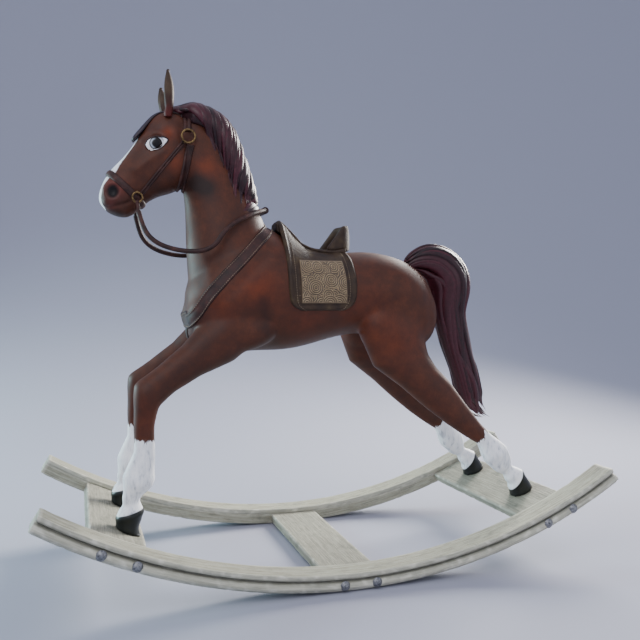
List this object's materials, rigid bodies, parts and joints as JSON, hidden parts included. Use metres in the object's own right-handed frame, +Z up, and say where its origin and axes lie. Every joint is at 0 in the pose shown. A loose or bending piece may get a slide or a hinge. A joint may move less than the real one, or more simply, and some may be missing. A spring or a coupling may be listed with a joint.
{
  "type": "rocking horse",
  "caption": "Carved rocking horse in saddle and bridle, galloping, with its hooves on cross boards between bent bow rockers.",
  "frame": {"origin": "on the floor, at the middle of the rockers' length and width", "axes": "head towards -X, tail towards +X, the horse's left side towards -Y, +Z up"},
  "size_m": [1.2, 0.5558, 1.036],
  "materials": {
    "weathered_wood": "weathered, unvarnished",
    "weathered_board": "weathered, unvarnished",
    "dowel_wood": "bare",
    "bolt_steel": "dull zinc",
    "coat": "painted, satin",
    "ear_leather": "satin",
    "eye_glass": "gloss",
    "hair": "carved and painted, gloss",
    "forelock_hair": "carved and painted, gloss",
    "saddle_leather": "satin",
    "tooled_leather": "embossed",
    "strap_leather": "satin",
    "ring_brass": "satin"
  },
  "bodies": {
    "horse": {"rocker_rail_left": "weathered_wood", "rocker_rail_right": "weathered_wood", "rocker_cap_left": "weathered_wood", "rocker_cap_right": "weathered_wood", "front_board": "weathered_board", "centre_board": "weathered_board", "rear_board": "weathered_board", "rocker_bolts_left": "bolt_steel", "rocker_bolts_right": "bolt_steel", "barrel_nuts": "bolt_steel", "hoof_screws": "bolt_steel", "body_upper": "coat", "body_lower": "coat", "neck": "coat", "head": "coat", "foreleg_left": "coat", "foreleg_right": "coat", "hindleg_left": "coat", "hindleg_right": "coat", "leg_dowels": "dowel_wood", "neck_dowels": "dowel_wood", "head_dowel": "dowel_wood", "tail_peg": "dowel_wood", "ear_left": "ear_leather", "ear_right": "ear_leather", "eye_left": "eye_glass", "eye_right": "eye_glass", "mane": "hair", "forelock": "forelock_hair", "tail": "hair", "saddle_skirt": "saddle_leather", "saddle_seat": "saddle_leather", "saddle_cantle": "saddle_leather", "saddle_panel_left": "tooled_leather", "saddle_panel_right": "tooled_leather", "breast_strap": "strap_leather", "chest_strap": "strap_leather", "noseband": "strap_leather", "cheek_strap_left": "strap_leather", "cheek_strap_right": "strap_leather", "throat_lash": "strap_leather", "crown_strap": "strap_leather", "rein_loop_left": "strap_leather", "rein_loop_right": "strap_leather", "rein_left": "strap_leather", "rein_right": "strap_leather", "rein_join": "strap_leather"},
    "bit_ring_left": {"bit_ring_left": "ring_brass"},
    "bit_ring_right": {"bit_ring_right": "ring_brass"},
    "cheek_ring_left": {"cheek_ring_left": "ring_brass"},
    "cheek_ring_right": {"cheek_ring_right": "ring_brass"}
  },
  "joints": [
    {"name": "bit_ring_left_turn", "type": "hinge", "parent": "horse", "child": "bit_ring_left", "pos_m": [-0.399, -0.039, 0.771], "axis": [0, 1, 0], "continuous": true},
    {"name": "bit_ring_right_turn", "type": "hinge", "parent": "horse", "child": "bit_ring_right", "pos_m": [-0.399, 0.039, 0.771], "axis": [0, 1, 0], "continuous": true},
    {"name": "cheek_ring_left_turn", "type": "hinge", "parent": "horse", "child": "cheek_ring_left", "pos_m": [-0.297, -0.052, 0.899], "axis": [0, 1, 0], "continuous": true},
    {"name": "cheek_ring_right_turn", "type": "hinge", "parent": "horse", "child": "cheek_ring_right", "pos_m": [-0.297, 0.052, 0.899], "axis": [0, 1, 0], "continuous": true}
  ]
}
